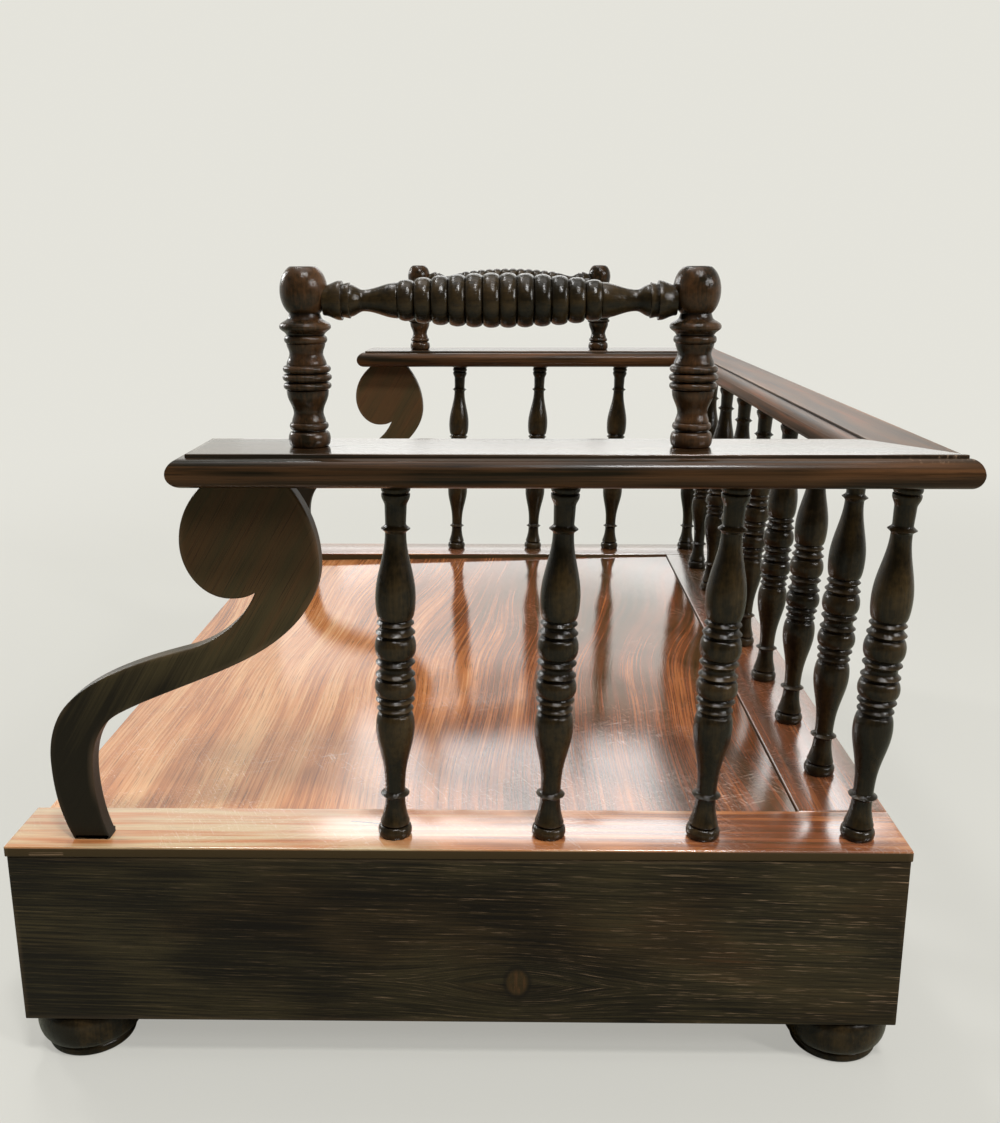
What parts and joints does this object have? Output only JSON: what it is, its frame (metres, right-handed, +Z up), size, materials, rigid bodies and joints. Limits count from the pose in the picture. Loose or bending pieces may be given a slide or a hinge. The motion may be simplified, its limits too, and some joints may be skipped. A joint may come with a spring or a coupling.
{
  "type": "book trough",
  "caption": "Rosewood book trough with a sunk bed, turned spindle gallery, S-scroll brackets, ring-turned carrying handles, bun feet and a base drawer that slides out.",
  "frame": {"origin": "on the floor under the middle of the overall box", "axes": "+X along the length to the right end, +Y to the back, +Z up; the open front and the drawer face -Y"},
  "size_m": [0.429, 0.2956, 0.251],
  "materials": {
    "turned_rosewood": "satin wax polish, very dark",
    "panel_rosewood": "satin, fine level grain",
    "rail_rosewood": "polished",
    "scroll_rosewood": "dull wax",
    "border_rosewood": "polished, worn",
    "bed_rosewood": "french polished, scratched",
    "secondary_wood": "bare"
  },
  "bodies": {
    "carcase": {"end_panel_right": "panel_rosewood", "end_panel_left": "panel_rosewood", "back_panel": "panel_rosewood", "bottom_board": "secondary_wood", "dust_board": "secondary_wood", "glue_blocks": "secondary_wood", "drawer_runner_right": "secondary_wood", "drawer_runner_left": "secondary_wood", "drawer_stops": "secondary_wood", "cleat_right": "border_rosewood", "cleat_left": "border_rosewood", "back_border": "border_rosewood", "bed_panel": "bed_rosewood", "foot_front_right": "turned_rosewood", "foot_front_left": "turned_rosewood", "foot_back_right": "turned_rosewood", "foot_back_left": "turned_rosewood", "spindle_right_1": "turned_rosewood", "spindle_right_2": "turned_rosewood", "spindle_right_3": "turned_rosewood", "spindle_left_1": "turned_rosewood", "spindle_left_2": "turned_rosewood", "spindle_left_3": "turned_rosewood", "spindle_back_1": "turned_rosewood", "spindle_back_2": "turned_rosewood", "spindle_back_3": "turned_rosewood", "spindle_back_4": "turned_rosewood", "spindle_back_5": "turned_rosewood", "spindle_back_6": "turned_rosewood", "spindle_back_7": "turned_rosewood", "spindle_back_8": "turned_rosewood", "spindle_back_9": "turned_rosewood", "handle_post_right_front": "turned_rosewood", "handle_post_right_back": "turned_rosewood", "handle_post_left_front": "turned_rosewood", "handle_post_left_back": "turned_rosewood", "handle_bar_right": "turned_rosewood", "handle_bar_left": "turned_rosewood", "scroll_right": "scroll_rosewood", "scroll_left": "scroll_rosewood", "rail_right": "rail_rosewood", "rail_left": "rail_rosewood", "rail_back": "rail_rosewood"},
    "drawer": {"drawer_front": "panel_rosewood", "drawer_side_right": "secondary_wood", "drawer_side_left": "secondary_wood", "drawer_back": "secondary_wood", "drawer_bottom": "secondary_wood", "drawer_knob_right": "turned_rosewood", "drawer_knob_left": "turned_rosewood"}
  },
  "joints": [
    {"name": "drawer_slide", "type": "slide", "parent": "carcase", "child": "drawer", "axis": [0, -1, 0], "range_m": [0, 0.2]}
  ]
}
